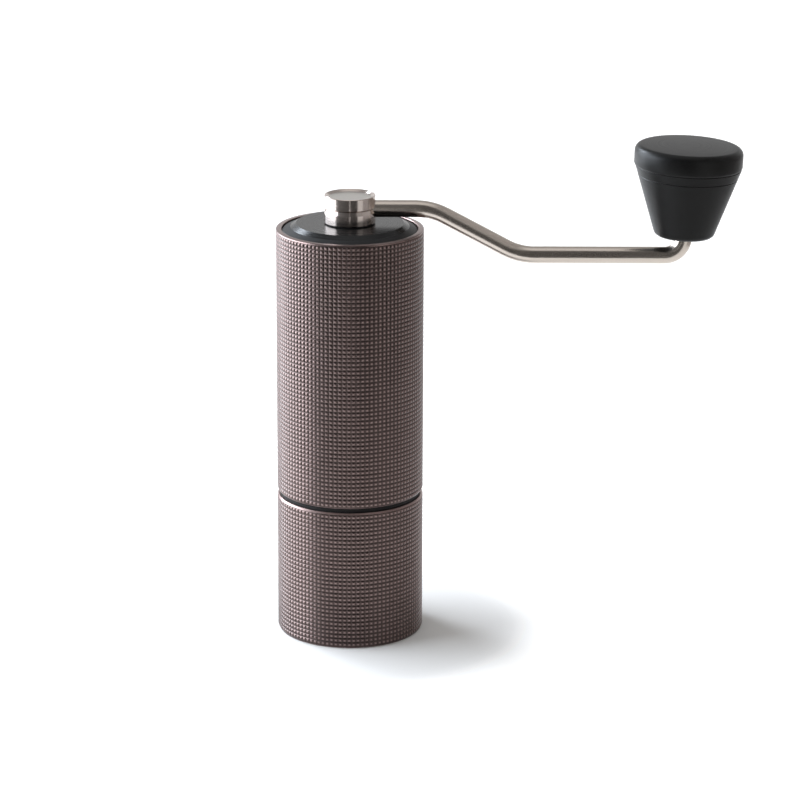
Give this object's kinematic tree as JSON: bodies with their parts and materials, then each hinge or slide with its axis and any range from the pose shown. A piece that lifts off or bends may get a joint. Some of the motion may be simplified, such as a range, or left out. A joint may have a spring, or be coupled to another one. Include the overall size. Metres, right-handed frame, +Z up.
{
  "type": "hand crank coffee grinder",
  "caption": "Slim round hand crank coffee grinder: square-cut metal sleeve and screw-off catch cup, black lift-off lid, bent rod crank with tapered knob, conical burrs inside.",
  "frame": {"origin": "on the axis of the body, at the underside of the foot pad, which is the plane the grinder stands on", "axes": "+Z up along the shaft's axis; +X towards the knob, with the crank in its rest place; +Y away from the viewer, to the back"},
  "size_m": [0.1633, 0.052, 0.1781],
  "materials": {
    "bronze_anodised": "fine cut square grid, taupe bronze anodised",
    "black_anodised": "satin black anodised",
    "grey_aluminium": "bead blasted",
    "black_lid": "satin black anodised, turned",
    "satin_steel": "satin",
    "brushed_hub": "turned and brushed round",
    "brushed_rod": "drawn rod, satin",
    "brushed_cap": "faced, very fine",
    "bearing_steel": "ground and polished",
    "spring_steel": "bright drawn",
    "burr_steel": "machined",
    "brass_nut": "turned",
    "black_screw": "black oxide",
    "nylon_bush": "natural nylon",
    "black_washer": "smooth",
    "black_knob": "satin black, fine moulded grain",
    "black_rubber": "matt"
  },
  "bodies": {
    "catch_cup_body": {"catch_cup": "bronze_anodised", "foot_pad": "black_rubber"},
    "seam_ring_body": {"seam_ring": "black_rubber"},
    "grinder_body": {"outer_sleeve": "bronze_anodised", "bean_tube": "satin_steel", "top_spider": "grey_aluminium", "top_bearing_outer": "bearing_steel", "top_bearing_balls": "bearing_steel", "burr_housing": "grey_aluminium", "low_bearing_outer": "bearing_steel", "low_bearing_balls": "bearing_steel", "outer_burr": "burr_steel", "burr_pins": "bearing_steel", "thread_collar": "black_anodised"},
    "shaft": {"drive_shaft": "satin_steel", "top_bearing_inner": "bearing_steel", "low_bearing_inner": "bearing_steel", "shaft_clip": "spring_steel", "spring_washer": "satin_steel", "burr_spring": "spring_steel", "stop_ring": "spring_steel"},
    "inner_burr_body": {"inner_burr": "burr_steel", "click_plate": "satin_steel"},
    "dial": {"adjust_dial": "black_anodised", "dial_nut": "brass_nut", "detent_balls": "bearing_steel", "detent_springs": "spring_steel"},
    "lid": {"lid_cover": "black_lid", "lid_seal": "black_rubber", "lid_bush": "nylon_bush", "lid_washer": "black_washer"},
    "crank": {"crank_hub": "brushed_hub", "crank_arm": "brushed_rod", "drive_socket": "satin_steel", "hub_screw": "black_screw", "hub_cap": "brushed_cap", "knob_washer": "satin_steel", "knob_screw": "black_screw"},
    "knob": {"knob_body": "black_knob", "knob_cap": "black_knob", "knob_bush": "nylon_bush"}
  },
  "joints": [
    {"name": "body_rise", "type": "slide", "parent": "catch_cup_body", "child": "seam_ring_body", "axis": [0, 0, 1], "range_m": [0, 0.018]},
    {"name": "body_turn", "type": "hinge", "parent": "seam_ring_body", "child": "grinder_body", "pos_m": [0, 0, 0.05], "axis": [0, 0, 1], "range_deg": [0, 1080]},
    {"name": "shaft_spin", "type": "hinge", "parent": "grinder_body", "child": "shaft", "pos_m": [0, 0, 0.1], "axis": [0, 0, 1], "continuous": true},
    {"name": "burr_shift", "type": "slide", "parent": "shaft", "child": "inner_burr_body", "axis": [0, 0, 1], "range_m": [0, 0.002], "deforming": ["burr_spring"]},
    {"name": "dial_turn", "type": "hinge", "parent": "inner_burr_body", "child": "dial", "pos_m": [0, 0, 0.038], "axis": [0, 0, 1], "range_deg": [0, 720]},
    {"name": "lid_lift", "type": "slide", "parent": "grinder_body", "child": "lid", "axis": [0, 0, 1], "range_m": [0, 0.04]},
    {"name": "crank_spin", "type": "hinge", "parent": "lid", "child": "crank", "pos_m": [0, 0, 0.15], "axis": [0, 0, 1], "continuous": true},
    {"name": "knob_spin", "type": "hinge", "parent": "crank", "child": "knob", "pos_m": [0.1169, 0, 0.14505], "axis": [0.0419, 0, 0.9991], "continuous": true}
  ],
  "couplings": [
    {"joint": "body_turn", "follows": "body_rise", "rad_per_m": 1047.2},
    {"joint": "dial_turn", "follows": "burr_shift", "rad_per_m": 6283.2},
    {"joint": "shaft_spin", "follows": "crank_spin", "ratio": 1}
  ]
}
